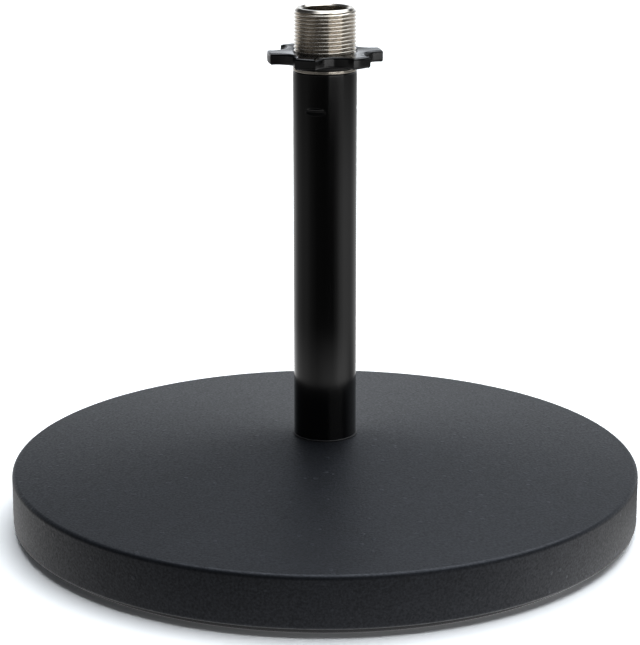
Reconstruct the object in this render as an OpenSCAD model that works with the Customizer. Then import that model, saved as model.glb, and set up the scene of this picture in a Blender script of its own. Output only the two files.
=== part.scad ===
// Desktop microphone stand: heavy round base, short tube, 5/8"-27 thread and a six-lobed lock ring.
// Millimetres, +Z up. The origin is on the floor at the centre of the base.

/* [Base] */
// Outer diameter of the base
base_d = 165; // [130:1:220]
// Height of the vertical rim of the casting
rim_h = 13.6; // [11:0.1:20]
// Radial thickness of the rim of the casting
rim_wall = 9; // [6:0.5:10]
// Rise of the sloping top from the rim to the hub
cone_rise = 7.9; // [4:0.1:14]
// Thickness of the sloping plate
plate_t = 6.5; // [5:0.1:8]
// Radius of the edge between the rim and the sloping top
crease_r = 1.7; // [0.4:0.1:2]
// Radius of the lower outside edge of the rim
rim_edge_r = 0.8; // [0.2:0.1:1]
// Diameter of the boss under the hub
boss_d = 32; // [26:1:40]
// Number of ribs under the plate
rib_count = 4; // [3:1:8]
// Thickness of each rib
rib_t = 5; // [3:0.5:8]
// Distance from the bottom of the rim up to the bottom of the ribs
rib_recess = 3; // [1:0.5:4]

/* [Rubber ring] */
// Height that the rubber ring stands out below the rim
rubber_proud = 2.2; // [1:0.1:4]
// Depth of the groove that holds the rubber ring
groove_depth = 0.8; // [0.4:0.1:1.5]
// Distance from the outside of the rim to the rubber ring
rubber_inset = 3.4; // [0.6:0.1:3.5]
// Radial width of the rubber ring
rubber_w = 4.2; // [3:0.1:4.8]

/* [Tube] */
// Outer diameter of the tube
tube_d = 16.3; // [16.3:0.1:19]
// Wall thickness of the tube
tube_wall = 1.2; // [1:0.1:1.4]
// Length of the tube
tube_len = 96.4; // [70:0.1:200]
// Thickness of the washer between the tube and the base
seat_washer_t = 0.4; // [0.2:0.1:1]
// Distance that the seat washer and the hub flat reach past the tube
seat_proud = 0.3; // [0.1:0.1:1]
// Number of crimp dimples round the tube
dimple_count = 3; // [1:1:4]
// Direction of the first dimple, counted from +X
dimple_angle = 252; // [0:1:360]
// Distance from the tube's top down to the centre of the dimples
dimple_drop = 9.5; // [7:0.1:11]
// Radius of the punch that makes a dimple
dimple_r = 1.2; // [0.9:0.1:1.6]
// Depth of a dimple at its middle
dimple_depth = 0.45; // [0.3:0.05:0.6]

/* [Threaded insert] */
// Major diameter of the thread, 5/8 inch
thread_d = 15.875; // [15.875:0.001:15.875]
// Threads per inch
thread_tpi = 27; // [27:1:27]
// Height of the insert above the lock ring
thread_above_ring = 11; // [9:0.1:16]
// Diameter of the hole through the insert
insert_bore_d = 11.7; // [9:0.1:11.8]
// Thickness of the flange on the tube's end
flange_t = 0.9; // [0.6:0.1:1.6]
// Length of the shank inside the tube
shank_len = 18; // [14:0.5:24]
// Depth of the crimp groove in the shank
crimp_groove_depth = 0.55; // [0.4:0.05:0.6]
// Chamfer on the ends of the insert
insert_chamfer = 0.3; // [0.1:0.1:0.5]

/* [Lock ring] */
// Diameter over the lobes
lock_ring_d = 29.4; // [26:0.1:36]
// Thickness of the lock ring
lock_ring_t = 2.9; // [2:0.1:5]
// Number of lobes
lobe_count = 6; // [5:1:8]
// Direction of the first lobe, counted from +X
lobe_angle = 10; // [0:1:60]
// Radius of the scallop between two lobes
scallop_r = 5.1; // [3:0.1:6]
// Depth of a scallop below the lobe tips
scallop_depth = 3.8; // [2:0.1:4.4]
// Chamfer on the upper and lower edges of the lobes
lobe_chamfer = 0.5; // [0.2:0.1:1]
// Thickness of the friction washer under the lock ring
ring_washer_t = 1.1; // [0.6:0.1:2]

/* [Base bolt] */
// Diameter of the bolt
bolt_d = 8; // [6:0.5:8]
// Length of the bolt under its head
bolt_len = 32; // [26:1:34]
// Width across the flats of the bolt's head
bolt_af = 13; // [10:0.5:13]
// Height of the bolt's head
bolt_head_h = 5.3; // [4:0.1:6]
// Outer diameter of the flat washer
flat_washer_d = 26; // [20:0.5:26]
// Thickness of the flat washer
flat_washer_t = 1.8; // [1:0.1:2.5]
// Outer diameter of the split lock washer
lock_washer_d = 14.4; // [13:0.1:16]
// Thickness of the split lock washer
lock_washer_t = 2; // [1.2:0.1:2.5]
// Width of the gap in the split lock washer
split_gap = 1.2; // [0.6:0.1:2]
// Slope of the gap in the split lock washer
split_angle = 35; // [15:5:45]
// Distance from the bottom of the rim up to the bolt's head
head_recess = 0.4; // [0.2:0.1:2]
// Length of the threaded bush in the tube's foot
bush_len = 15; // [12:0.5:20]

/* [Clearances] */
// Radial clearance of what is pressed into the tube
press_clear = 0.02; // [0.01:0.01:0.05]
// Radial clearance of the lock ring on the thread crests
ring_clear = 0.06; // [0.03:0.01:0.09]
// Radial clearance of the friction washer on the neck of the insert
washer_clear = 0.1; // [0.05:0.01:0.3]
// Height of the neck that the friction washer leaves free under the thread
neck_clear = 0.1; // [0.05:0.05:0.5]
// Radial clearance of the bolt in the bush's thread
bolt_thread_clear = 0.05; // [0.02:0.01:0.1]
// Radial clearance of the bolt in the base and in the washers
bolt_clear = 0.4; // [0.2:0.1:0.8]
// Clearance of the rubber ring in its groove
rubber_clear = 0.1; // [0.05:0.05:0.3]

/* [Hidden] */
$fn = 96;
cut = 0.5;                       // how far a cutting shape reaches past the face that it cuts
arc_steps = 6;                   // straight pieces in a rounded edge of a profile

base_r = base_d / 2;
slope_r = base_r - tube_d / 2 - seat_proud;
slope_angle = atan(cone_rise / slope_r);
rim_z = rubber_proud;
crease_z = rim_z + rim_h;
hub_z = crease_z + cone_rise;
rim_inner_r = base_r - rim_wall;
boss_z = rim_z + head_recess + bolt_head_h + lock_washer_t + flat_washer_t;

tube_r = tube_d / 2;
tube_bore_r = tube_r - tube_wall;
tube_z = hub_z + seat_washer_t;
tube_top_z = tube_z + tube_len;
press_r = tube_bore_r - press_clear;
dimple_z = tube_top_z - dimple_drop;
dimple_axis_r = tube_r + dimple_r - dimple_depth;
bump_r = dimple_r + tube_wall - 0.05;

thread_r = thread_d / 2;
pitch = 25.4 / thread_tpi;
thread_depth = 0.6134 * pitch;
crest_flat = pitch / 8;
root_r = thread_r - thread_depth;
flange_top_z = tube_top_z + flange_t;
lock_ring_z = flange_top_z + ring_washer_t;
lock_ring_top_z = lock_ring_z + lock_ring_t;
insert_top_z = lock_ring_top_z + thread_above_ring;
thread_z = lock_ring_z + neck_clear;
thread_turns = floor((insert_top_z - insert_chamfer - thread_z) / pitch - 0.3);
crimp_groove_h = 2 * bump_r + 1;

flat_washer_z = boss_z - flat_washer_t;
lock_washer_z = flat_washer_z - lock_washer_t;
bolt_head_z = lock_washer_z - bolt_head_h;
bolt_r = bolt_d / 2;
bush_z = tube_z + 0.3;

// Points along an arc, from angle a0 to angle a1
function arc(centre, r, a0, a1) =
    [for (i = [0 : arc_steps]) let (a = a0 + (a1 - a0) * i / arc_steps) centre + r * [cos(a), sin(a)]];

// Height of the sloping top at a distance from the axis
function top_z(r) = crease_z + (base_r - r) * tan(slope_angle);

// Height of the underside of the sloping plate
function under_z(r) = top_z(r) - plate_t;

// One thread ridge: root, then a crest that is flat, or sharp where the lock ring rests
function ridge(i) =
    let (z = thread_z + i * pitch, mid = z + pitch / 2)
    let (half_flat = mid - crest_flat > lock_ring_top_z ? crest_flat / 2 : 0)
    concat([[root_r, z + crest_flat], [thread_r, mid - half_flat]],
        half_flat > 0 ? [[thread_r, mid + half_flat]] : [],
        [[root_r, z + pitch - crest_flat]]);

// A flat ring that stands on z
module ring(outer_r, inner_r, z, h) {
    translate([0, 0, z])
        difference() {
            cylinder(r = outer_r, h = h);
            translate([0, 0, -cut]) cylinder(r = inner_r, h = h + 2 * cut);
        }
}

// Copies its children to each dimple's direction, on the axis of the punch
module at_dimples() {
    for (i = [0 : dimple_count - 1])
        rotate([0, 0, dimple_angle + i * 360 / dimple_count])
            translate([dimple_axis_r, 0, dimple_z])
                rotate([90, 0, 0]) children();
}

// Outer shape of the casting as a half section: rim, rounded crease, slope, hub and plate underside
module casting_section() {
    crease_c = [base_r - crease_r, crease_z - crease_r * tan(45 - slope_angle / 2)];
    edge_c = [base_r - rim_edge_r, rim_z + rim_edge_r];
    polygon(concat(
        [[rim_inner_r, rim_z]],
        arc(edge_c, rim_edge_r, -90, 0),
        arc(crease_c, crease_r, 0, 90 - slope_angle),
        [[tube_r + seat_proud, hub_z], [0, hub_z], [0, boss_z], [boss_d / 2, boss_z]],
        [[boss_d / 2, under_z(boss_d / 2)], [rim_inner_r, under_z(rim_inner_r)]]));
}

// Ribs between the boss and the rim, sunk halfway into the plate above them
module ribs() {
    rib_z = rim_z + rib_recess;
    outer_r = rim_inner_r + rim_wall / 4;
    intersection() {
        for (i = [0 : rib_count - 1])
            rotate([0, 0, i * 360 / rib_count])
                translate([boss_d / 4, -rib_t / 2, rib_z]) cube([outer_r, rib_t, hub_z - rib_z]);
        rotate_extrude()
            polygon([[0, rib_z], [outer_r, rib_z], [outer_r, under_z(outer_r) + plate_t / 2],
                [0, under_z(0) + plate_t / 2]]);
    }
}

module base_casting() {
    color("#3b3b3d")
        difference() {
            union() {
                rotate_extrude() casting_section();
                ribs();
            }
            translate([0, 0, -cut]) cylinder(r = flat_washer_d / 2 + bolt_clear, h = boss_z + cut);
            translate([0, 0, -cut]) cylinder(r = bolt_r + bolt_clear, h = hub_z + 2 * cut);
            ring(base_r - rubber_inset + rubber_clear, base_r - rubber_inset - rubber_w - rubber_clear,
                rim_z - cut, groove_depth + cut);
        }
}

module base_rubber_ring() {
    color("#1b1b1b")
        ring(base_r - rubber_inset, base_r - rubber_inset - rubber_w, 0, rubber_proud + groove_depth);
}

module tube() {
    color("#0c0c0c")
        difference() {
            union() {
                ring(tube_r, tube_bore_r, tube_z, tube_len);
                intersection() {
                    at_dimples() cylinder(r = bump_r, h = tube_r, center = true);
                    translate([0, 0, tube_z]) cylinder(r = tube_r - tube_wall / 2, h = tube_len);
                }
            }
            at_dimples() cylinder(r = dimple_r, h = tube_d, center = true);
        }
}

module tube_seat_washer() {
    color("#161616") ring(tube_r + seat_proud, bolt_r + bolt_clear, hub_z, seat_washer_t);
}

module tube_foot_bush() {
    color("#8b8d90") ring(press_r, bolt_r + bolt_thread_clear, bush_z, bush_len);
}

module base_bolt() {
    corner_r = bolt_af / sqrt(3);
    color("#9a9c9f") {
        translate([0, 0, bolt_head_z])
            intersection() {
                cylinder(r = corner_r, h = bolt_head_h, $fn = 6);
                cylinder(r1 = bolt_af / 2 - 0.2, r2 = bolt_af / 2 - 0.2 + bolt_head_h * 2, h = bolt_head_h);
            }
        translate([0, 0, bolt_head_z + bolt_head_h - cut]) cylinder(r = bolt_r, h = bolt_len + cut);
    }
}

module bolt_lock_washer() {
    color("#77797c")
        difference() {
            ring(lock_washer_d / 2, bolt_r + bolt_clear / 2, lock_washer_z, lock_washer_t);
            translate([lock_washer_d / 4, 0, lock_washer_z + lock_washer_t / 2])
                rotate([split_angle, 0, 0])
                    cube([lock_washer_d / 2 + cut, split_gap, lock_washer_t * 3], center = true);
        }
}

module bolt_flat_washer() {
    color("#a4a6a9") ring(flat_washer_d / 2, bolt_r + bolt_clear, flat_washer_z, flat_washer_t);
}

module threaded_insert() {
    bore_r = insert_bore_d / 2;
    groove_d = crimp_groove_depth;
    shank_z = tube_top_z - shank_len;
    groove_r = press_r - groove_d;
    groove_z = dimple_z - crimp_groove_h / 2;
    thread_end_z = thread_z + thread_turns * pitch;
    color("#c9c6bd")
        rotate_extrude()
            polygon(concat(
                [[bore_r, shank_z], [press_r - insert_chamfer, shank_z], [press_r, shank_z + insert_chamfer]],
                [[press_r, groove_z], [groove_r, groove_z + groove_d]],
                [[groove_r, groove_z + crimp_groove_h - groove_d], [press_r, groove_z + crimp_groove_h]],
                [[press_r, tube_top_z], [tube_r, tube_top_z], [tube_r, flange_top_z], [root_r, flange_top_z]],
                [for (i = [0 : thread_turns - 1]) each ridge(i)],
                [[root_r, thread_end_z], [root_r, insert_top_z - insert_chamfer]],
                [[root_r - insert_chamfer, insert_top_z], [bore_r + insert_chamfer, insert_top_z]],
                [[bore_r, insert_top_z - insert_chamfer]]));
}

module ring_washer() {
    color("#2a2a2a") ring(tube_r, root_r + washer_clear, flange_top_z, ring_washer_t);
}

module lock_ring() {
    tip_r = lock_ring_d / 2;
    color("#141414")
        difference() {
            translate([0, 0, lock_ring_z])
                rotate_extrude()
                    polygon([[thread_r + ring_clear, 0], [tip_r - lobe_chamfer, 0], [tip_r, lobe_chamfer],
                        [tip_r, lock_ring_t - lobe_chamfer], [tip_r - lobe_chamfer, lock_ring_t],
                        [thread_r + ring_clear, lock_ring_t]]);
            for (i = [0 : lobe_count - 1])
                rotate([0, 0, lobe_angle + (i + 0.5) * 360 / lobe_count])
                    translate([tip_r - scallop_depth + scallop_r, 0, lock_ring_z - cut])
                        cylinder(r = scallop_r, h = lock_ring_t + 2 * cut);
        }
}

base_casting();
base_rubber_ring();
tube();
tube_seat_washer();
tube_foot_bush();
base_bolt();
bolt_lock_washer();
bolt_flat_washer();
threaded_insert();
ring_washer();
lock_ring();
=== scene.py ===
"""Desktop microphone stand: the visible model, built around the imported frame.

Sizes in the classes are millimetres and angles are degrees. Places come from the frame's boxes, and meshes are made in
metres.
"""

import logging
import math
from dataclasses import dataclass, field
from enum import Enum
from typing import Callable, Sequence

import bmesh
import bpy
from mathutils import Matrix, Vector


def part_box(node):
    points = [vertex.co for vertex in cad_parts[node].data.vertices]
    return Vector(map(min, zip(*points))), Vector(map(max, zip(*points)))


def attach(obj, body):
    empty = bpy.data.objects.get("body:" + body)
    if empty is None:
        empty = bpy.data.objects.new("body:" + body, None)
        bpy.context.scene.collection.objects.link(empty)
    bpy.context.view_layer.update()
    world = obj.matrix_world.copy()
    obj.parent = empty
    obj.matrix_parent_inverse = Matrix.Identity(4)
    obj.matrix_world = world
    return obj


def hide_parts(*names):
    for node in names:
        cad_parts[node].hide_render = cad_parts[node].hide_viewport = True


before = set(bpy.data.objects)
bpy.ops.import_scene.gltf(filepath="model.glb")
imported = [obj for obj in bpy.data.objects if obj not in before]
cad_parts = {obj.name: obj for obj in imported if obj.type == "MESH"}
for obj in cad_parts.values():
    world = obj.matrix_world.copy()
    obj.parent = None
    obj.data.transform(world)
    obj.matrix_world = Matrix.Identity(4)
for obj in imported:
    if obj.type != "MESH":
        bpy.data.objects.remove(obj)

MM = 0.001
LOG = logging.getLogger("desk_stand")
Profile = list[tuple[float, float]]
Levels = tuple[tuple[float, float], ...]
Tree, Node, Socket = bpy.types.NodeTree, bpy.types.Node, bpy.types.NodeSocket
Material, Piece, Mesh = bpy.types.Material, bpy.types.Object, bmesh.types.BMesh


class Body(Enum):
    """The moving bodies of the frame."""

    STAND = "stand"
    WASHER = "washer"
    RING = "ring"


class Slot(Enum):
    """Names of the material slots, which no piece in this script is given."""

    BASE = "base_paint"
    RUBBER = "rubber"
    TUBE = "tube_enamel"
    SEAT = "seat_plastic"
    ZINC = "zinc_steel"
    NICKEL = "nickel_plate"
    FIBRE = "fibre"
    RING = "ring_enamel"


# ---- colours and shader nodes


def linear(hex_colour: str) -> tuple[float, float, float, float]:
    """Turns an sRGB hex colour into linear light.

    Args:
        hex_colour: Six hex digits, with or without a leading #.

    Returns:
        Red, green, blue and an alpha of 1.
    """
    digits = hex_colour.lstrip("#")
    values = [int(digits[i:i + 2], 16) / 255 for i in (0, 2, 4)]
    lit = [v / 12.92 if v <= 0.04045 else ((v + 0.055) / 1.055) ** 2.4 for v in values]
    return (*lit, 1.0)


def per_metre(size_mm: float) -> float:
    """The noise scale whose grains are about this many millimetres across."""
    return 1 / (size_mm * MM)


def ends(span: tuple[float, float] = (0.0, 1.0), to: tuple[float, float] = (0.0, 1.0)) -> dict[str, float]:
    """The settings that change one range into another."""
    return {"From Min": span[0], "From Max": span[1], "To Min": to[0], "To Max": to[1]}


def feed(tree: Tree, node: Node, links: dict[str | int, Socket]) -> None:
    """Links output sockets to a node's inputs, which are given by name or number."""
    for key, source in links.items():
        tree.links.new(source, node.inputs[key])


def add_node(tree: Tree, kind: str, settings: dict | None = None,
             links: dict[str | int, Socket] | None = None, out: str | int = 0) -> Socket:
    """Adds one shader node, sets it up and links what feeds it.

    Args:
        tree: The node tree that takes the node.
        kind: The node's type name without ShaderNode.
        settings: Properties by name, and input values by socket name or number. A ramp takes its stops, each a
            place and a linear level, as "stops".
        links: Output sockets that feed this node, by input name or number.
        out: Name or number of the output that is handed back.

    Returns:
        The output socket.
    """
    node = tree.nodes.new("ShaderNode" + kind)
    for key, value in (settings or {}).items():
        if key == "stops":
            ramp = node.color_ramp
            while len(ramp.elements) < len(value):
                ramp.elements.new(1.0)
            for element, (where, level) in zip(ramp.elements, value):
                element.position = where
                element.color = (level, level, level, 1.0)
        elif isinstance(key, int) or key in node.inputs:
            node.inputs[key].default_value = value
        else:
            setattr(node, key, value)
    feed(tree, node, links or {})
    return node.outputs[out]


def start_material(name: str) -> tuple[Material, Tree, Node, Socket]:
    """Makes an empty material.

    Args:
        name: The material's name.

    Returns:
        The material, its tree, its shader and the object coordinates for its patterns.
    """
    material = bpy.data.materials.new(name)
    material.use_nodes = True
    tree = material.node_tree
    return material, tree, tree.nodes["Principled BSDF"], add_node(tree, "TexCoord", out="Object")


# ---- finishes


@dataclass(frozen=True)
class PowderCoat:
    """Cast iron with a fine-texture powder coat, baked matt. Its grit gives a soft blue-grey bloom with fine specks."""

    dark: str = "#0c0d0f"
    light: str = "#191b1f"
    # Colour of the pigment grains, and of the painted highlight along the crease and foot edges
    grain_and_highlight: str = "#24272c"
    tint: str = "#e9eefa"
    grit_mm: float = 0.62
    grain_mm: float = 4.4
    mottle_mm: float = 7.0
    film_depth_mm: float = 0.042
    grain_depth_mm: float = 0.05
    roughness: float = 0.45
    shine: tuple[float, float] = (0.27, 0.41)

    def build(self) -> Material:
        """Makes the material.

        Returns:
            The material.
        """
        material, tree, shader, spot = start_material("cast_iron_powder_coated")
        shader.inputs["Specular Tint"].default_value = linear(self.tint)
        grit = add_node(tree, "TexNoise", {"Scale": per_metre(self.grit_mm), "Detail": 2.0, "Roughness": 0.65},
                        {"Vector": spot})
        mottle = add_node(tree, "TexNoise", {"Scale": per_metre(self.mottle_mm), "Detail": 2.0}, {"Vector": spot})
        # Single grains of pigment that stand out of the film, a few millimetres apart
        cells = add_node(tree, "TexVoronoi", {"Scale": per_metre(self.grain_mm)}, {"Vector": spot})
        grain = add_node(tree, "MapRange", {"interpolation_type": "SMOOTHSTEP"} | ends((0.15, 0.09)),
                         {"Value": cells})
        mixed = add_node(tree, "Math", {"operation": "MULTIPLY_ADD", 1: 0.4}, {0: mottle, 2: grit})
        share = add_node(tree, "MapRange", ends((0.5, 0.9)), {"Value": mixed})
        paint = add_node(tree, "Mix", {"data_type": "RGBA", 6: linear(self.dark), 7: linear(self.light)},
                         {0: share}, 2)
        # Painted highlight: the crease and foot edges are painted lighter to stand in for light on them, and the film
        # is thinner there too
        edge = add_node(tree, "Attribute", {"attribute_name": "edge"}, out="Fac")
        edge_highlight = add_node(tree, "Math", {"operation": "MULTIPLY", 1: 0.35}, {0: edge})
        bare_grain = add_node(tree, "Math", {"operation": "MULTIPLY", 1: 0.7}, {0: grain})
        thin = add_node(tree, "Math", {"operation": "MAXIMUM"}, {0: edge_highlight, 1: bare_grain})
        colour = add_node(tree, "Mix", {"data_type": "RGBA", 7: linear(self.grain_and_highlight)}, {0: thin, 6: paint}, 2)
        rough = add_node(tree, "MapRange", ends((0.3, 0.7), (self.roughness + 0.06, self.roughness - 0.06)),
                         {"Value": grit})
        shine = add_node(tree, "MapRange", ends((0.32, 0.68), self.shine), {"Value": grit})
        film = add_node(tree, "Bump", {"Strength": 1.0, "Distance": self.film_depth_mm * MM}, {"Height": grit})
        bump = add_node(tree, "Bump", {"Strength": 1.0, "Distance": self.grain_depth_mm * MM},
                        {"Height": grain, "Normal": film})
        feed(tree, shader, {"Base Color": colour, "Roughness": rough, "Normal": bump, "Specular IOR Level": shine})
        return material


@dataclass(frozen=True)
class Enamel:
    """Stoved black enamel, sprayed on steel. It is glossy, with the faint orange peel of a sprayed film."""

    name: str
    colour: str
    bloom: str
    roughness: float
    peel_mm: float = 2.4
    peel_depth_mm: float = 0.003
    haze_mm: float = 9.0

    def build(self) -> Material:
        """Makes the material.

        Returns:
            The material.
        """
        material, tree, shader, spot = start_material(self.name)
        peel = add_node(tree, "TexNoise", {"Scale": per_metre(self.peel_mm), "Detail": 1.0}, {"Vector": spot})
        haze = add_node(tree, "TexNoise", {"Scale": per_metre(self.haze_mm), "Detail": 3.0}, {"Vector": spot})
        colour = add_node(tree, "Mix", {"data_type": "RGBA", 6: linear(self.colour), 7: linear(self.bloom)},
                          {0: haze}, 2)
        rough = add_node(tree, "MapRange", ends(to=(self.roughness * 0.85, self.roughness * 1.2)), {"Value": haze})
        bump = add_node(tree, "Bump", {"Strength": 0.5, "Distance": self.peel_depth_mm * MM}, {"Height": peel})
        feed(tree, shader, {"Base Color": colour, "Roughness": rough, "Normal": bump})
        return material


@dataclass(frozen=True)
class Plating:
    """Electroplated steel, turned before it was plated. Fine tool lines run round it, and where the root attribute is
    set it is painted darker as shade.
    """

    name: str
    colour: str
    # Colour of the stains, and of the painted shade in the thread roots and on the flange
    stained_and_shaded: str
    roughness: float
    line_mm: float = 0.12
    line_length_mm: float = 4.0
    line_depth_mm: float = 0.01
    stain_mm: float = 1.6

    def build(self) -> Material:
        """Makes the material.

        Returns:
            The material.
        """
        material, tree, shader, spot = start_material(self.name)
        shader.inputs["Metallic"].default_value = 1.0
        # Close together along Z and long across it, so that the lines run round the axis
        across = per_metre(self.line_length_mm)
        rings = add_node(tree, "Mapping", {"Scale": (across, across, per_metre(self.line_mm))}, {"Vector": spot})
        lines = add_node(tree, "TexNoise", {"Scale": 1.0, "Detail": 2.0}, {"Vector": rings})
        stain = add_node(tree, "TexNoise", {"Scale": per_metre(self.stain_mm), "Detail": 3.0}, {"Vector": spot})
        # Painted shade: the root attribute darkens the thread's roots and the flange
        root = add_node(tree, "Attribute", {"attribute_name": "root"}, out="Fac")
        spots = add_node(tree, "MapRange", ends((0.55, 0.8), (0.0, 0.35)), {"Value": stain})
        stain_and_shade = add_node(tree, "Math", {"operation": "MULTIPLY_ADD", 1: 0.6, "use_clamp": True}, {0: root, 2: spots})
        colour = add_node(tree, "Mix", {"data_type": "RGBA", 6: linear(self.colour), 7: linear(self.stained_and_shaded)},
                          {0: stain_and_shade}, 2)
        rough = add_node(tree, "MapRange", ends(to=(self.roughness * 0.7, self.roughness * 1.4)), {"Value": lines})
        bump = add_node(tree, "Bump", {"Strength": 0.3, "Distance": self.line_depth_mm * MM}, {"Height": lines})
        feed(tree, shader, {"Base Color": colour, "Roughness": rough, "Normal": bump})
        return material


@dataclass(frozen=True)
class Moulded:
    """Moulded rubber or plastic, or pressed fibre: matt, with a fine speckle and no shine."""

    name: str
    dark: str
    light: str
    roughness: float
    speckle_mm: float = 0.4
    speckle_depth_mm: float = 0.02
    wear_mm: float = 6.0

    def build(self) -> Material:
        """Makes the material.

        Returns:
            The material.
        """
        material, tree, shader, spot = start_material(self.name)
        speckle = add_node(tree, "TexNoise", {"Scale": per_metre(self.speckle_mm), "Detail": 2.0}, {"Vector": spot})
        wear = add_node(tree, "TexNoise", {"Scale": per_metre(self.wear_mm), "Detail": 3.0}, {"Vector": spot})
        mixed = add_node(tree, "Math", {"operation": "MULTIPLY"}, {0: speckle, 1: wear})
        colour = add_node(tree, "Mix", {"data_type": "RGBA", 6: linear(self.dark), 7: linear(self.light)},
                          {0: mixed}, 2)
        rough = add_node(tree, "MapRange", ends(to=(self.roughness - 0.08, self.roughness + 0.08)), {"Value": wear})
        bump = add_node(tree, "Bump", {"Strength": 0.4, "Distance": self.speckle_depth_mm * MM}, {"Height": speckle})
        feed(tree, shader, {"Base Color": colour, "Roughness": rough, "Normal": bump})
        return material


@dataclass
class Paintshop:
    """Every finish, made once and shared by the pieces that have it."""

    powder: Material = field(default_factory=lambda: PowderCoat().build())
    # Gloss black: near black face on, with clear reflections only at the sides
    tube: Material = field(default_factory=lambda: Enamel(
        "mild_steel_gloss_enamel", "#050506", "#080809", 0.1).build())
    # Satin black: the lobes' upper faces go grey where they are seen flat on the light
    satin: Material = field(default_factory=lambda: Enamel(
        "steel_satin_enamel", "#070708", "#0c0c0d", 0.15, peel_mm=0.9).build())
    # Nickel is a warm silver, and painted shade darkens its thread roots and flange
    nickel: Material = field(default_factory=lambda: Plating(
        "steel_nickel_plated", "#ece4d8", "#7d766c", 0.13).build())
    # Clear-passivated zinc is cooler and duller than nickel
    zinc: Material = field(default_factory=lambda: Plating(
        "steel_zinc_plated", "#b4b8bd", "#7a7c80", 0.34).build())
    rubber: Material = field(default_factory=lambda: Moulded(
        "nitrile_rubber_moulded", "#2b2b2d", "#454547", 0.82).build())
    fibre: Material = field(default_factory=lambda: Moulded(
        "vulcanised_fibre_pressed", "#1b1b1c", "#3a3937", 0.6).build())
    seat: Material = field(default_factory=lambda: Moulded(
        "polyethylene_moulded", "#0c0c0d", "#161617", 0.5).build())


# ---- mesh making


@dataclass(frozen=True)
class Corner:
    """A corner of a turned profile, in millimetres, and the radius that rounds it."""

    r: float
    z: float
    fillet: float = 0.0


def rounded(corners: Sequence[Corner], steps: int = 6, guard: float = 0.06) -> Profile:
    """Rounds the corners of a closed profile.

    Args:
        corners: The corners in order.
        steps: Straight pieces in each rounded corner.
        guard: Distance in millimetres from an arc to the extra point that keeps the flat beside it flat.

    Returns:
        Points (r, z) in millimetres.
    """
    points: Profile = []
    for i, corner in enumerate(corners):
        here = Vector((corner.r, corner.z))
        back = Vector((corners[i - 1].r, corners[i - 1].z)) - here
        ahead_corner = corners[(i + 1) % len(corners)]
        ahead = Vector((ahead_corner.r, ahead_corner.z)) - here
        if corner.fillet <= 0:
            points.append((corner.r, corner.z))
            continue
        u, v = back.normalized(), ahead.normalized()
        half = u.angle(v) / 2
        reach = corner.fillet / math.tan(half)
        centre = here + (u + v).normalized() * corner.fillet / math.sin(half)
        start, end = here + u * reach - centre, here + v * reach - centre
        turn = start.angle_signed(end)
        if back.length > reach + 2 * guard:
            points.append(tuple(here + u * (reach + guard)))
        for step in range(steps + 1):
            angle = -turn * step / steps
            spun = Vector((start.x * math.cos(angle) - start.y * math.sin(angle),
                           start.x * math.sin(angle) + start.y * math.cos(angle)))
            points.append(tuple(centre + spun))
        if ahead.length > reach + 2 * guard:
            points.append(tuple(here + v * (reach + guard)))
    return points


def weave(bm: Mesh, rows: Sequence[Sequence[tuple[float, float, float]]], wrap_rows: bool,
          wrap_row: bool = True, caps: bool = False) -> None:
    """Joins rows of points, in millimetres, into a skin of quads.

    Args:
        bm: The mesh that takes the skin.
        rows: Rows with the same number of points.
        wrap_rows: Whether the last row joins the first.
        wrap_row: Whether each row is a closed loop.
        caps: Whether a face closes each end.
    """
    grid = [[bm.verts.new(Vector(p) * MM) for p in row] for row in rows]
    last_row = len(grid) if wrap_rows else len(grid) - 1
    last = len(grid[0]) if wrap_row else len(grid[0]) - 1
    for i in range(last_row):
        a, b = grid[i], grid[(i + 1) % len(grid)]
        for j in range(last):
            k = (j + 1) % len(a)
            bm.faces.new((a[j], a[k], b[k], b[j]))
    if caps:
        bm.faces.new(list(reversed(grid[0])))
        bm.faces.new(grid[-1])


def spin(bm: Mesh, profile: Profile, segments: int, closed: bool = True) -> None:
    """Turns a profile round the Z axis.

    Args:
        bm: The mesh that takes the skin.
        profile: Points (r, z) in millimetres.
        segments: Flat pieces round the axis.
        closed: Whether the profile's last point joins its first.
    """
    rows = [[(r * math.cos(a), r * math.sin(a), z) for a in
             (2 * math.pi * j / segments for j in range(segments))] for r, z in profile]
    weave(bm, rows, closed)


def finish_mesh(bm: Mesh, name: str, material: Material, sharp: float = 38.0, weld: float = 1e-7) -> Piece:
    """Turns a bmesh into a smooth-shaded object with crisp edges.

    Args:
        bm: The mesh, which is freed.
        name: The object's name.
        material: Its finish.
        sharp: Edges that turn more than this many degrees stay crisp.
        weld: Vertices closer than this many metres are joined.

    Returns:
        The new object.
    """
    bmesh.ops.remove_doubles(bm, verts=bm.verts, dist=weld)
    bmesh.ops.recalc_face_normals(bm, faces=bm.faces)
    for face in bm.faces:
        face.smooth = True
    limit = math.radians(sharp)
    for edge in bm.edges:
        if len(edge.link_faces) == 2 and edge.calc_face_angle(0) > limit:
            edge.smooth = False
    mesh = bpy.data.meshes.new(name)
    bm.to_mesh(mesh)
    bm.free()
    mesh.materials.append(material)
    piece = bpy.data.objects.new(name, mesh)
    bpy.context.scene.collection.objects.link(piece)
    return piece


def paint_points(piece: Piece, name: str, rule: Callable[[float, float, float], float]) -> None:
    """Stores a number at every vertex, for a material to read.

    Args:
        piece: The object.
        name: The attribute's name.
        rule: Gives the number from x, y and z in millimetres.
    """
    layer = piece.data.attributes.new(name, "FLOAT", "POINT")
    for i, vertex in enumerate(piece.data.vertices):
        layer.data[i].value = rule(*(vertex.co / MM))


def place(piece: Piece, body: Body, node: str) -> None:
    """Puts a piece on its body in place of a node of the frame, and logs it.

    Args:
        piece: The piece.
        body: The body that it moves with.
        node: The frame's node that it stands for.
    """
    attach(piece, body.value)
    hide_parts(node)
    LOG.info("%s: %d faces on %s", piece.name, len(piece.data.polygons), body.value)


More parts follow.
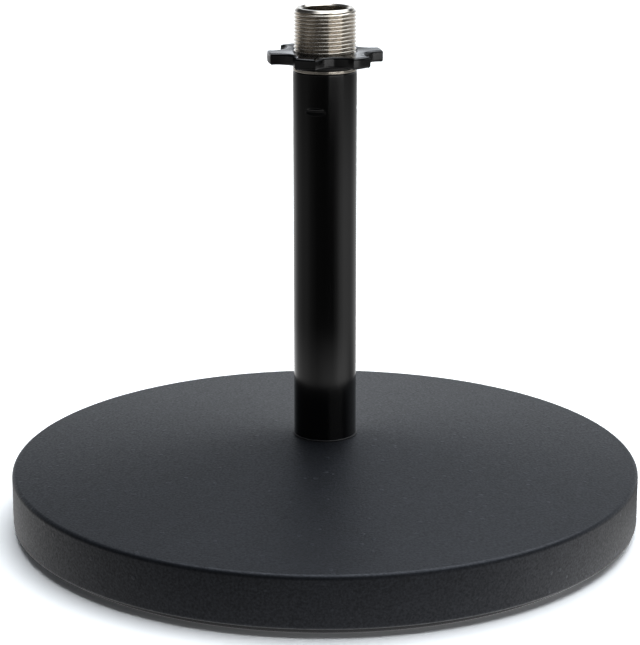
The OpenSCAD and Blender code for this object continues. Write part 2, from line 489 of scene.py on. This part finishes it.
@dataclass(frozen=True)
class Span:
    """Radius, bottom and top of a frame node, in millimetres."""

    r: float
    low: float
    high: float

    @staticmethod
    def of(node: str) -> "Span":
        """Reads a node's span from the frame."""
        low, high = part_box(node)
        return Span((high.x - low.x) / 2 / MM, low.z / MM, high.z / MM)


# ---- the base


@dataclass
class Base:
    """The casting, its rubber ring and the hardware under it."""

    paints: Paintshop
    rim_wall: float = 9.0
    rim_height: float = 13.6
    plate: float = 6.5
    hub_r: float = 8.45
    boss_r: float = 16.0
    bolt_hole_r: float = 4.4
    crease_r: float = 1.2
    foot_edge_r: float = 0.8
    cast_fillet: float = 2.2
    rib: float = 5.0
    rib_recess: float = 3.0
    rib_bite: float = 0.6
    ribs: int = 4
    # How far in from the corner the middle of the painted highlight on each outer edge lies, across and up or down
    crease_highlight: tuple[float, float] = (0.35, 0.35)
    foot_highlight: tuple[float, float] = (0.25, 0.3)
    highlight_reach: float = 0.7
    groove: float = 0.8
    ring_play: float = 0.1
    ring_width: float = 4.2
    washer_room_r: float = 13.4
    spring_inner_r: float = 4.2
    spring_gap: float = 5.0
    spring_slant: float = 6.0
    hex_across: float = 13.0
    bolt_r: float = 4.0
    bolt_pitch: float = 1.25
    bolt_thread: float = 0.72
    segments: int = 288
    body: Span = field(default_factory=lambda: Span.of("base_casting"))
    rubber: Span = field(default_factory=lambda: Span.of("base_rubber_ring"))
    flat_washer: Span = field(default_factory=lambda: Span.of("bolt_flat_washer"))

    @property
    def crease_z(self) -> float:
        """Height of the edge between the rim and the sloping top."""
        return self.body.low + self.rim_height

    @property
    def slope(self) -> float:
        """Rise of the top per millimetre towards the hub."""
        return (self.body.high - self.crease_z) / (self.body.r - self.hub_r)

    def under(self, r: float) -> float:
        """Height of the plate's underside at a distance from the axis."""
        return self.crease_z + (self.body.r - r) * self.slope - self.plate

    def casting(self) -> None:
        """Builds the casting as one turned skin with the ribs grown out of it."""
        r, low, inner = self.body.r, self.body.low, self.body.r - self.rim_wall
        groove_out, groove_in = self.rubber.r + self.ring_play, self.rubber.r - self.ring_width - self.ring_play
        bm = bmesh.new()
        spin(bm, rounded([
            Corner(self.bolt_hole_r, self.body.high, 0.3),
            Corner(self.hub_r, self.body.high, 1.2),
            Corner(r, self.crease_z, self.crease_r),
            Corner(r, low, self.foot_edge_r),
            Corner(groove_out, low),
            Corner(groove_out, low + self.groove),
            Corner(groove_in, low + self.groove),
            Corner(groove_in, low),
            Corner(inner, low, 0.6),
            Corner(inner, self.under(inner), self.cast_fillet),
            Corner(self.boss_r, self.under(self.boss_r), self.cast_fillet),
            Corner(self.boss_r, self.flat_washer.high, 0.8),
            Corner(self.bolt_hole_r, self.flat_washer.high, 0.2),
        ]), self.segments)
        for i in range(self.ribs):
            self.grow_rib(bm, 2 * math.pi * i / self.ribs, inner)
        piece = finish_mesh(bm, "base_casting_coated", self.paints.powder)
        # Painted highlight: the crease and foot edges get lighter paint
        paint_points(piece, "edge", self.edge_highlight_share)
        place(piece, Body.STAND, "base_casting")

    def edge_highlight_share(self, x: float, y: float, z: float) -> float:
        """How much painted highlight a point gets from the outer edges.

        Args:
            x, y, z: The point, in millimetres.

        Returns:
            0 away from the edges, 1 in the middle of their painted highlight.
        """
        inward = self.body.r - math.hypot(x, y)
        crease = math.hypot(inward - self.crease_highlight[0], self.crease_z - self.crease_highlight[1] - z)
        foot = math.hypot(inward - self.foot_highlight[0], self.body.low + self.foot_highlight[1] - z)
        return max(0.0, 1 - min(crease, foot) / self.highlight_reach)

    def grow_rib(self, bm: Mesh, angle: float, outer: float) -> None:
        """Adds one drafted rib with rounded lower edges.

        Args:
            bm: The casting's mesh.
            angle: Direction of the rib, in radians.
            outer: Distance from the axis to the inside of the rim, in millimetres.
        """
        low, half = self.body.low + self.rib_recess, self.rib / 2
        # Place across the rib, and height over its lower face, which is None where the rib flares into the plate
        across = [(-half - 0.9, None), (-half - 0.25, None), (-half, 1.6), (-half + 0.35, 0.45), (-half + 1.1, 0.0),
                  (half - 1.1, 0.0), (half - 0.35, 0.45), (half, 1.6), (half + 0.25, None), (half + 0.9, None)]
        flare = [0.15, -0.35]
        cos, sin = math.cos(angle), math.sin(angle)
        steps, length = 14, outer + self.rib_bite - self.washer_room_r
        rows = []
        for r in (self.washer_room_r + length * step / steps for step in range(steps + 1)):
            row = []
            for j, (offset, rise) in enumerate(across):
                z = self.under(r) + flare[min(j, len(across) - 1 - j)] if rise is None else low + rise
                row.append((r * cos - offset * sin, r * sin + offset * cos, z))
            rows.append(row)
        weave(bm, rows, False, caps=True)

    def rubber_ring(self) -> None:
        """Builds the soft ring that the base stands on, its edges rounded by the mould."""
        out, low, high = self.rubber.r, self.rubber.low, self.rubber.high
        inner = out - self.ring_width
        bm = bmesh.new()
        spin(bm, rounded([
            Corner(inner, high, 0.2), Corner(inner, low, 0.5), Corner(out, low, 0.6), Corner(out, high, 0.2),
        ]), self.segments)
        place(finish_mesh(bm, "rubber_ring_moulded", self.paints.rubber), Body.STAND, "base_rubber_ring")

    def flat_washer_disc(self) -> None:
        """Builds the large flat washer, with the rolled edge of a punched blank."""
        s = self.flat_washer
        bm = bmesh.new()
        spin(bm, rounded([
            Corner(self.bolt_hole_r, s.high, 0.15), Corner(self.bolt_hole_r, s.low, 0.25), Corner(s.r, s.low, 0.5),
            Corner(s.r, s.high, 0.15),
        ], 4), 96)
        place(finish_mesh(bm, "flat_washer_plated", self.paints.zinc), Body.STAND, "bolt_flat_washer")

    def lock_washer(self) -> None:
        """Builds the split washer as an open coil of square wire with a slanting gap."""
        s = Span.of("bolt_lock_washer")
        section = rounded([
            Corner(self.spring_inner_r, s.high, 0.15), Corner(self.spring_inner_r, s.low, 0.15),
            Corner(s.r, s.low, 0.15), Corner(s.r, s.high, 0.15),
        ], 3)
        steps, sweep = 90, 360 - 2 * self.spring_gap
        rows = []
        for i in range(steps + 1):
            row = []
            for r, z in section:
                slant = math.radians(self.spring_slant) * (z - (s.low + s.high) / 2) / (s.high - s.low)
                angle = math.radians(self.spring_gap + sweep * i / steps) + slant
                row.append((r * math.cos(angle), r * math.sin(angle), z))
            rows.append(row)
        bm = bmesh.new()
        weave(bm, rows, False, caps=True)
        place(finish_mesh(bm, "lock_washer_plated", self.paints.zinc), Body.STAND, "bolt_lock_washer")

    def bolt(self) -> None:
        """Builds the hexagon bolt: chamfered head, washer face and rolled thread."""
        low, high = (p.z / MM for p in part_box("base_bolt"))
        head_top, flat, sides = Span.of("bolt_lock_washer").low, self.hex_across / 2, 72
        # Height, and the radius that a turned chamfer leaves, as a share of the distance to a flat: 2 cuts nothing
        levels = [(low, 0.55), (low + 0.02, 0.93), (low + 0.5, 2.0), (head_top - 0.7, 2.0), (head_top - 0.42, 0.97),
                  (head_top - 0.4, 0.9), (head_top, 0.9)]
        rows = []
        for z, limit in levels:
            row = []
            for j in range(sides):
                turned = 2 * math.pi * j / sides
                off = math.radians((math.degrees(turned) + 30) % 60 - 30)
                r, angle = min(flat / math.cos(off), limit * flat), turned + math.pi / 6
                row.append((r * math.cos(angle), r * math.sin(angle), z))
            rows.append(row)
        crest, root = self.bolt_r - 0.02, self.bolt_r - self.bolt_thread
        quarters = int((high - head_top) / self.bolt_pitch * 4)
        profile = [(0.0, head_top - 0.3), (self.bolt_r, head_top - 0.3), (self.bolt_r, head_top)]
        for i in range(quarters):
            profile.append(((crest, root, root, crest)[i % 4], head_top + 0.6 + (high - head_top - 1.4) * i / quarters))
        profile += [(self.bolt_r - 0.7, high), (0.0, high)]
        bm = bmesh.new()
        weave(bm, rows, False, caps=True)
        spin(bm, profile, sides, closed=False)
        place(finish_mesh(bm, "hex_bolt_plated", self.paints.zinc, sharp=20.0), Body.STAND, "base_bolt")


# ---- the tube


@dataclass
class Column:
    """The enamelled tube, what seats it on the base and the bush in its foot."""

    paints: Paintshop
    wall: float = 1.2
    dimples: int = 3
    first_dimple: float = 252.0
    dimple_drop: float = 9.5
    punch_r: float = 1.2
    dimple_depth: float = 0.45
    dimple_band: float = 2.0
    soften: float = 0.1
    lip_r: float = 0.35
    foot_bevel: float = 0.12
    bush_bore_r: float = 4.07
    bush_thread: float = 0.45
    bush_mouth_r: float = 4.6
    seat_inner_r: float = 4.4
    segments: int = 360
    span: Span = field(default_factory=lambda: Span.of("tube"))

    def dent(self, angle: float, z: float) -> float:
        """Depth of the nearest dimple below the outer wall.

        Args:
            angle: Direction round the tube, in radians.
            z: Height in millimetres.

        Returns:
            Depth in millimetres, 0 away from the dimples.
        """
        best = 0.0
        axis_r = self.span.r + self.punch_r - self.dimple_depth
        up = z - (self.span.high - self.dimple_drop)
        for i in range(self.dimples):
            off = angle - math.radians(self.first_dimple) - 2 * math.pi * i / self.dimples
            off = math.atan2(math.sin(off), math.cos(off))
            # A punch that is this far round, or above or below, doesn't reach the point
            if abs(off) > 0.6 or abs(up) > self.punch_r:
                continue
            # Where a ray from the axis meets the round punch that lies across the tube
            reach = axis_r - math.sqrt(self.punch_r ** 2 - up * up)
            raw = self.span.r - reach / math.cos(off)
            eased = 0.5 * (raw + math.sqrt(raw * raw + self.soften ** 2)) - 0.5 * self.soften * 0.6
            best = max(best, eased)
        return best

    def tube(self) -> None:
        """Builds the tube as a drawn wall with crimped dimples and a rounded mouth."""
        low, high, out = self.span.low, self.span.high, self.span.r
        inner, lip, plain = out - self.wall, high - self.lip_r, low + 1.0
        below, above = high - self.dimple_drop - self.dimple_band, high - self.dimple_drop + self.dimple_band
        levels = [low, low + self.foot_bevel, low + 0.35, plain]
        levels += [plain + (below - plain) * i / 24 for i in range(1, 25)]
        levels += [below + (above - below) * i / 48 for i in range(1, 49)]
        levels += [above + (lip - above) * i / 6 for i in range(1, 6)]
        # The row just under the lip keeps the wall's shading straight up to it
        levels += [lip - 0.06, lip]
        profile = [(out - self.foot_bevel, low)] + [(out, z) for z in levels[1:]]
        profile += [(out - self.lip_r * (1 - math.cos(a)), lip + self.lip_r * math.sin(a)) for a in
                    (math.pi / 2 * i / 5 for i in range(1, 6))]
        profile += [(inner, high), (inner, above), (inner, below), (inner, low)]
        rows = []
        for r, z in profile:
            row = []
            for j in range(self.segments):
                a = 2 * math.pi * j / self.segments
                near = r - (self.dent(a, z) if r > inner + 0.1 else 0.0)
                row.append((near * math.cos(a), near * math.sin(a), z))
            rows.append(row)
        bm = bmesh.new()
        weave(bm, rows, True)
        place(finish_mesh(bm, "tube_enamelled", self.paints.tube), Body.STAND, "tube")

    def seat(self) -> None:
        """Builds the thin seat washer, squeezed a little at its outer edge."""
        s = Span.of("tube_seat_washer")
        bm = bmesh.new()
        spin(bm, rounded([
            Corner(self.seat_inner_r, s.high), Corner(self.seat_inner_r, s.low), Corner(s.r, s.low, 0.1),
            Corner(s.r, s.high, 0.2),
        ], 4, 0.02), 128)
        place(finish_mesh(bm, "seat_washer_moulded", self.paints.seat), Body.STAND, "tube_seat_washer")

    def bush(self) -> None:
        """Builds the tapped bush inside the tube's foot."""
        s = Span.of("tube_foot_bush")
        steps = 22
        bore = [(self.bush_bore_r + i % 2 * self.bush_thread, s.low + 0.5 + (s.high - s.low - 1) * i / steps)
                for i in range(steps + 1)]
        bm = bmesh.new()
        spin(bm, [(s.r - 0.3, s.high), (self.bush_mouth_r, s.high), *reversed(bore), (self.bush_mouth_r, s.low),
                  (s.r - 0.3, s.low), (s.r, s.low + 0.4), (s.r, s.high - 0.4)], 96)
        place(finish_mesh(bm, "foot_bush_plated", self.paints.zinc), Body.STAND, "tube_foot_bush")


# ---- the thread and its lock ring


@dataclass(frozen=True)
class MicThread:
    """The right-handed 5/8 inch-27 thread of the insert and the lock ring."""

    pitch: float = 25.4 / 27
    major_r: float = 7.9375
    depth_share: float = 0.6134

    @property
    def root_r(self) -> float:
        """Radius at the bottom of the thread."""
        return self.major_r - self.depth_share * self.pitch

    @property
    def depth(self) -> float:
        """Height of the ridge over its root."""
        return self.major_r - self.root_r


@dataclass
class ThreadEnd:
    """The nickel-plated insert: shank in the tube, flange on its end, and the microphone thread above."""

    paints: Paintshop
    column: Column
    form: MicThread = field(default_factory=MicThread)
    bore_r: float = 5.85
    flange: float = 0.9
    neck: float = 1.2
    shank_clear: float = 0.02
    groove: float = 0.55
    groove_half: float = 2.85
    lead: float = 0.9
    bore_lead: float = 0.45
    # How far under the neck's top the skin of the thread starts, and where and how steeply it swells
    skin_drop: float = 0.9
    swell_drop: float = 0.6
    swell_slope: float = 1.4
    steps_per_turn: int = 144
    span: Span = field(default_factory=lambda: Span.of("threaded_insert"))

    @property
    def seat_z(self) -> float:
        """Height of the tube's end, which the flange rests on."""
        return self.column.span.high

    @property
    def neck_z(self) -> float:
        """Height of the neck's top, where the thread begins."""
        return self.seat_z + self.flange + self.neck

    def ridge(self) -> Profile:
        """Gives one turn's section, with crest and root both eased.

        Returns:
            Points, each a share of the pitch and a share of the height.
        """
        return [(0.0, 0.0), (0.07, 0.05), (0.13, 0.22), (0.19, 0.46), (0.25, 0.68), (0.31, 0.83), (0.37, 0.93),
                (0.43, 0.985), (0.5, 1.0), (0.57, 0.985), (0.63, 0.93), (0.69, 0.83), (0.75, 0.68), (0.81, 0.46),
                (0.87, 0.22), (0.93, 0.05), (1.0, 0.0)]

    def limit(self, z: float) -> float:
        """Gives the thread its run-out below and its chamfer above.

        Args:
            z: Height in millimetres.

        Returns:
            The largest radius that the thread may have there, in millimetres.
        """
        above = self.form.major_r - self.lead + max(0.0, self.span.high - z)
        return min(self.form.major_r, above,
                   self.form.root_r + max(0.0, z - self.neck_z + self.swell_drop) * self.swell_slope)

    def thread(self, bm: Mesh) -> None:
        """Adds the helical thread as one skin that winds up the insert.

        Args:
            bm: The insert's mesh.
        """
        low, high, pitch = self.neck_z - self.skin_drop, self.span.high, self.form.pitch
        turns = math.ceil((high - low) / pitch) + 2
        rows = []
        for step in range(turns * self.steps_per_turn + 1):
            turned = step / self.steps_per_turn
            angle = 2 * math.pi * turned
            row = []
            for share, rise in self.ridge():
                z = min(max(low - pitch + (turned + share) * pitch, low), high)
                r = min(self.form.root_r + rise * self.form.depth, self.limit(z))
                row.append((r * math.cos(angle), r * math.sin(angle), z))
            rows.append(row)
        weave(bm, rows, False, False)
        # A wall behind the roots closes the skin from its lower edge to its upper one
        tip, inner = self.form.major_r - self.lead, self.form.root_r - 0.03
        spin(bm, [(self.form.root_r, low), (inner, low + 0.02), (inner, high - 1.0), (tip - 0.03, high - 0.03),
                  (tip, high)], self.steps_per_turn, closed=False)

    def insert(self) -> None:
        """Builds the insert with its flange, groove, thread and bore."""
        top, low, out = self.span.high, self.span.low, self.column.span.r
        shank, flange_top = out - self.column.wall - self.shank_clear, self.seat_z + self.flange
        mid, neck_r, tip = self.seat_z - self.column.dimple_drop, self.form.root_r - 0.05, self.form.major_r - self.lead
        bm = bmesh.new()
        spin(bm, rounded([
            Corner(neck_r, self.neck_z - 0.85),
            Corner(neck_r, flange_top),
            Corner(out, flange_top, 0.22),
            Corner(out, self.seat_z, 0.18),
            Corner(shank, self.seat_z),
            Corner(shank, mid + self.groove_half),
            Corner(shank - self.groove, mid + self.groove_half - self.groove),
            Corner(shank - self.groove, mid - self.groove_half + self.groove),
            Corner(shank, mid - self.groove_half),
            Corner(shank, low, 0.3),
            Corner(self.bore_r, low, 0.2),
            Corner(self.bore_r, top - self.bore_lead, 0.15),
            Corner(self.bore_r + self.bore_lead, top, 0.1),
            Corner(tip, top),
            Corner(tip - 0.2, top - 0.2),
        ], 4, 0.04), 192)
        self.thread(bm)
        piece = finish_mesh(bm, "threaded_insert_plated", self.paints.nickel, sharp=50.0, weld=2e-7)
        # Painted shade on the thread's roots and the flange
        paint_points(piece, "root", self.root_shade_share)
        place(piece, Body.STAND, "threaded_insert")

    def root_shade_share(self, x: float, y: float, z: float) -> float:
        """How much painted shade the plating of a point gets.

        Args:
            x, y, z: The point, in millimetres.

        Returns:
            0 on a crest, 1 at the root of a groove and on the flange.
        """
        r = math.hypot(x, y)
        if r < self.form.root_r - 0.1 or z < self.seat_z - 0.05:
            return 0.0
        if z < self.seat_z + self.flange + 0.05:
            return 1.0
        return min(1.0, max(0.0, (self.form.major_r - r) / self.form.depth)) ** 2


@dataclass
class Lock:
    """The six-lobed lock ring and the friction washer under it."""

    paints: Paintshop
    lobes: int = 6
    first_lobe: float = 10.0
    scallop_r: float = 5.1
    scallop_depth: float = 3.8
    blend: float = 1.5
    edge_r: float = 0.6
    per_lobe: int = 72
    bore_clear: float = 0.06
    bore_lead: float = 0.45
    bore_thread: float = 0.35
    bore_turns: int = 5
    washer_clear: float = 0.1
    form: MicThread = field(default_factory=MicThread)
    span: Span = field(default_factory=lambda: Span.of("lock_ring"))

    def outline(self) -> Profile:
        """Draws the star: round tips met by scallops, with their corners eased.

        Returns:
            Its points (x, y) in millimetres.
        """
        centre_r = self.span.r - self.scallop_depth + self.scallop_r
        points = []
        for i in range(self.lobes * self.per_lobe):
            share = i / self.per_lobe
            off = math.radians((share % 1 - 0.5) * 360 / self.lobes)
            side = centre_r * math.sin(off)
            tip, hollow = self.span.r, math.inf
            if abs(side) < self.scallop_r:
                hollow = centre_r * math.cos(off) - math.sqrt(self.scallop_r ** 2 - side * side)
            gap = max(0.0, self.blend - abs(tip - hollow)) / self.blend
            r = min(tip, hollow) - gap * gap * self.blend / 4
            a = math.radians(self.first_lobe + share * 360 / self.lobes)
            points.append((r * math.cos(a), r * math.sin(a)))
        return points

    def shrunk(self, points: Profile, by: float, z: float) -> list[tuple[float, float, float]]:
        """The outline moved inwards along its own normals.

        Args:
            points: The outline.
            by: Distance in millimetres.
            z: Height of the new loop.

        Returns:
            The new loop.
        """
        loop = []
        for i, (x, y) in enumerate(points):
            ahead, back = points[(i + 1) % len(points)], points[i - 1]
            along = Vector((ahead[0] - back[0], ahead[1] - back[1])).normalized()
            loop.append((x - along.y * by, y + along.x * by, z))
        return loop

    def ring(self) -> None:
        """Builds the ring: pressed star with rounded edges and a chamfered, threaded hole."""
        star, low, high, e = self.outline(), self.span.low, self.span.high, self.edge_r
        quarter = [math.pi / 2 * i / 6 for i in range(7)]
        rows = [self.shrunk(star, e + 0.25, low), self.shrunk(star, e + 0.05, low)]
        rows += [self.shrunk(star, e * (1 - math.sin(a)), low + e * (1 - math.cos(a))) for a in quarter]
        # The two rows next to the rounded edges keep the shading of the sides straight
        rows += [self.shrunk(star, 0.0, low + e + 0.06), self.shrunk(star, 0.0, high - e - 0.06)]
        rows += [self.shrunk(star, e * (1 - math.cos(a)), high - e * (1 - math.sin(a))) for a in quarter]
        rows += [self.shrunk(star, e + 0.05, high), self.shrunk(star, e + 0.25, high)]
        bore, lead, steps = self.form.major_r + self.bore_clear, self.bore_lead, self.bore_turns * 2
        hole = [(bore + lead + 0.05, high), (bore + lead, high - 0.02), (bore, high - lead)]
        hole += [(bore + i % 2 * self.bore_thread, high - lead - (high - low - 2 * lead) * i / steps)
                 for i in range(1, steps)]
        hole += [(bore, low + lead), (bore + lead, low + 0.02), (bore + lead + 0.05, low)]
        turned = [math.atan2(y, x) for x, y in star]
        rows += [[(r * math.cos(a), r * math.sin(a), z) for a in turned] for r, z in hole]
        bm = bmesh.new()
        weave(bm, rows, True)
        place(finish_mesh(bm, "lock_ring_enamelled", self.paints.satin), Body.RING, "lock_ring")

    def washer(self) -> None:
        """Builds the friction washer under the ring."""
        s = Span.of("ring_washer")
        inner = self.form.root_r + self.washer_clear
        bm = bmesh.new()
        spin(bm, rounded([
            Corner(inner, s.high), Corner(inner, s.low), Corner(s.r, s.low, 0.25), Corner(s.r, s.high, 0.25),
        ], 5, 0.03), 160)
        place(finish_mesh(bm, "friction_washer_pressed", self.paints.fibre), Body.WASHER, "ring_washer")


# ---- studio


@dataclass
class Studio:
    """Pale sweep, soft light and the camera. Only the camera's sizes are millimetres, and the rest is in metres."""

    lens_mm: float = 133.45
    sensor_mm: float = 36.0
    shift: float = -0.00775
    camera_back: float = 601.0
    camera_up: float = 224.1
    pitch: float = 15.82
    # The tent's bright back: its turn to the right, its edge, and the heights between which it goes dark
    right_bias: float = 0.4
    back_edge: tuple[float, float] = (0.08, 0.78)
    back_heights: tuple[float, float] = (0.03, 0.42)
    back_levels: tuple[float, float] = (1.35, 0.03)
    # The wide top light: its direction, its edge and its level
    top_lean: tuple[float, float, float] = (0.2, 0.25, 0.947)
    top_edge: tuple[float, float] = (0.76, 0.92)
    top_level: float = 3.3
    # Colour of the tent, and its level where nothing else lights it
    tent: str = "#f4f9ff"
    front_level: float = 0.05
    box_at: tuple[float, float, float] = (0.853, -0.981, 0.46)
    box_aim: tuple[float, float, float] = (0.0, 0.0, 0.08)
    box_size: tuple[float, float] = (1.25, 0.85)
    box_watts: float = 1.5
    sweep_size: float = 9.0
    # The sheet is exposed past white, so that only the contact shadow is left of its shading
    paper_gain: float = 1.65
    # Distances from the axis over which the paper's light changes, dims and stops
    near_to_far: tuple[float, float] = (0.085, 0.195)
    fade: tuple[float, float] = (0.4, 0.68)
    fade_level: float = 0.45
    table_end: tuple[float, float] = (0.785, 0.797)
    # Light that comes off the paper round the stand, from the back by the left to the front and on by the right
    near_levels: Levels = (
        (0.0, 1.9), (0.07, 1.9), (0.12, 1.6), (0.16, 1.2), (0.21, 1.0), (0.27, 0.95), (0.37, 0.72), (0.43, 0.68),
        (0.5, 0.96), (0.58, 1.2), (0.64, 1.7), (0.71, 1.2), (0.79, 0.2), (0.85, 0.3), (0.93, 1.2), (1.0, 1.9))
    far_levels: Levels = (
        (0.0, 1.2), (0.12, 0.8), (0.18, 0.36), (0.25, 0.25), (0.31, 0.24), (0.36, 0.12), (0.42, 0.05), (0.5, 0.04),
        (0.58, 0.05), (0.62, 0.2), (0.655, 0.52), (0.7, 0.7), (0.74, 0.62), (0.78, 0.46), (0.83, 0.5), (0.9, 0.8),
        (1.0, 1.2))
    # What stands beyond the paper: a dark room with a tall softbox to the right of the camera
    room_levels: Levels = (
        (0.0, 1.2), (0.14, 0.9), (0.2, 0.16), (0.28, 0.35), (0.34, 0.45), (0.42, 0.45), (0.5, 0.3), (0.53, 0.4),
        (0.545, 3.2), (0.69, 3.2), (0.7, 0.14), (0.78, 0.14), (0.84, 0.4), (0.9, 0.9), (1.0, 1.2))

    def camera(self) -> None:
        """Sets the camera that looks down on the stand from its front."""
        data = bpy.data.cameras.new("camera")
        data.sensor_width, data.lens, data.shift_x = self.sensor_mm, self.lens_mm, self.shift
        data.clip_start, data.clip_end = 0.01, 50.0
        camera = bpy.data.objects.new("camera", data)
        camera.location = (0.0, -self.camera_back * MM, self.camera_up * MM)
        camera.rotation_euler = (math.radians(90 - self.pitch), 0.0, 0.0)
        bpy.context.scene.collection.objects.link(camera)
        bpy.context.scene.camera = camera

    def sheet(self, name: str, z: float) -> Piece:
        """Adds a flat square sheet of paper.

        Args:
            name: The sheet's name.
            z: Its height in metres.

        Returns:
            The sheet.
        """
        bm = bmesh.new()
        bmesh.ops.create_grid(bm, x_segments=2, y_segments=2, size=self.sweep_size / 2)
        mesh = bpy.data.meshes.new(name)
        bm.to_mesh(mesh)
        bm.free()
        piece = bpy.data.objects.new(name, mesh)
        piece.location.z = z
        bpy.context.scene.collection.objects.link(piece)
        return piece

    def floor(self) -> None:
        """Lays the white sweep that is seen."""
        paper, tree, shader, spot = start_material("floor_paper")
        shader.inputs["Roughness"].default_value = 0.9
        shader.inputs["Specular IOR Level"].default_value = 0.1
        fibre = add_node(tree, "TexNoise", {"Scale": per_metre(1.5), "Detail": 2.0}, {"Vector": spot})
        white = add_node(tree, "Mix", {"data_type": "RGBA", 6: linear("#f6f6f5"), 7: linear("#fbfbfa")},
                         {0: fibre}, 2)
        bright = add_node(tree, "VectorMath", {"operation": "SCALE", "Scale": self.paper_gain}, {0: white})
        feed(tree, shader, {"Base Color": bright})
        sweep = self.sheet("floor_sweep", 0.0)
        sweep.data.materials.append(paper)
        sweep.visible_glossy = False
        sweep.visible_diffuse = False

    def bounce(self) -> None:
        """Lays a shaded sweep under the white one, which only reflections and bounce light see."""
        paper, tree, shader, spot = start_material("bounce_paper")
        tree.nodes.remove(shader)
        # Direction round the stand: 0 is the back, a quarter the left, a half the front, three quarters the right
        turn = add_node(tree, "Mapping", {"Rotation": (0.0, 0.0, math.radians(90))}, {"Vector": spot})
        around = add_node(tree, "TexGradient", {"gradient_type": "RADIAL"}, {"Vector": turn}, "Fac")
        near, far, room = (add_node(tree, "ValToRGB", {"stops": levels}, {"Fac": around})
                           for levels in (self.near_levels, self.far_levels, self.room_levels))
        reach = add_node(tree, "VectorMath", {"operation": "LENGTH"}, {0: spot}, "Value")
        outward = add_node(tree, "MapRange", ends(self.near_to_far), {"Value": reach})
        table = add_node(tree, "Mix", {"data_type": "RGBA"}, {0: outward, 6: near, 7: far}, 2)
        dimming = add_node(tree, "MapRange", ends(self.fade, (1.0, self.fade_level)), {"Value": reach})
        faded = add_node(tree, "VectorMath", {"operation": "SCALE"}, {0: table, "Scale": dimming})
        beyond = add_node(tree, "MapRange", ends(self.table_end), {"Value": reach})
        level = add_node(tree, "Mix", {"data_type": "RGBA"}, {0: beyond, 6: faded, 7: room}, 2)
        glow = add_node(tree, "Emission", {"Strength": 1.0}, {"Color": level})
        feed(tree, tree.nodes["Material Output"], {"Surface": glow})
        sweep = self.sheet("bounce_sweep", -0.0005)
        sweep.data.materials.append(paper)
        sweep.visible_camera = False
        sweep.visible_shadow = False

    def world(self) -> None:
        """Makes the light tent: a wide top light, a bright low back, and little light from the camera's side."""
        world = bpy.data.worlds.new("tent")
        bpy.context.scene.world = world
        world.use_nodes = True
        tree = world.node_tree
        back = tree.nodes["Background"]
        back.inputs["Color"].default_value = linear(self.tent)
        direction = add_node(tree, "TexCoord", out="Generated")
        x, y, z = add_node(tree, "SeparateXYZ", links={0: direction}).node.outputs
        rearward = add_node(tree, "Math", {"operation": "MULTIPLY_ADD", 1: self.right_bias}, {0: x, 2: y})
        behind = add_node(tree, "MapRange", {"interpolation_type": "SMOOTHSTEP"} | ends(self.back_edge),
                          {"Value": rearward})
        low = add_node(tree, "MapRange", ends(self.back_heights, self.back_levels), {"Value": z})
        wall = add_node(tree, "Math", {"operation": "MULTIPLY_ADD", 2: self.front_level}, {0: behind, 1: low})
        over = add_node(tree, "VectorMath", {"operation": "DOT_PRODUCT", 1: self.top_lean}, {0: direction}, "Value")
        roof = add_node(tree, "MapRange", {"interpolation_type": "SMOOTHSTEP"} | ends(
            self.top_edge, (0.0, self.top_level)), {"Value": over})
        strength = add_node(tree, "Math", {"operation": "ADD"}, {0: wall, 1: roof})
        feed(tree, back, {"Strength": strength})

    def softbox(self) -> None:
        """Adds the rectangular softbox at the side, which faces the stand."""
        data = bpy.data.lights.new("side_softbox", "AREA")
        data.shape = "RECTANGLE"
        data.size, data.size_y = self.box_size
        data.energy = self.box_watts
        light = bpy.data.objects.new("side_softbox", data)
        light.location = self.box_at
        light.rotation_euler = (Vector(self.box_aim) - Vector(self.box_at)).to_track_quat("-Z", "Y").to_euler()
        bpy.context.scene.collection.objects.link(light)

    def build(self) -> None:
        """Builds the whole studio."""
        bpy.context.scene.view_settings.view_transform = "Standard"
        self.camera()
        self.floor()
        self.bounce()
        self.world()
        self.softbox()
        LOG.info("studio: camera %.0f mm back, %.0f mm up", self.camera_back, self.camera_up)


def main() -> None:
    """Builds the stand piece by piece, then the studio."""
    logging.basicConfig(level=logging.INFO, format="%(name)s: %(message)s")
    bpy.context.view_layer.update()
    paints = Paintshop()
    base = Base(paints)
    base.casting()
    base.rubber_ring()
    base.flat_washer_disc()
    base.lock_washer()
    base.bolt()
    column = Column(paints)
    column.tube()
    column.seat()
    column.bush()
    ThreadEnd(paints, column).insert()
    lock = Lock(paints)
    lock.ring()
    lock.washer()
    Studio().build()


if __name__ == "__main__":
    main()
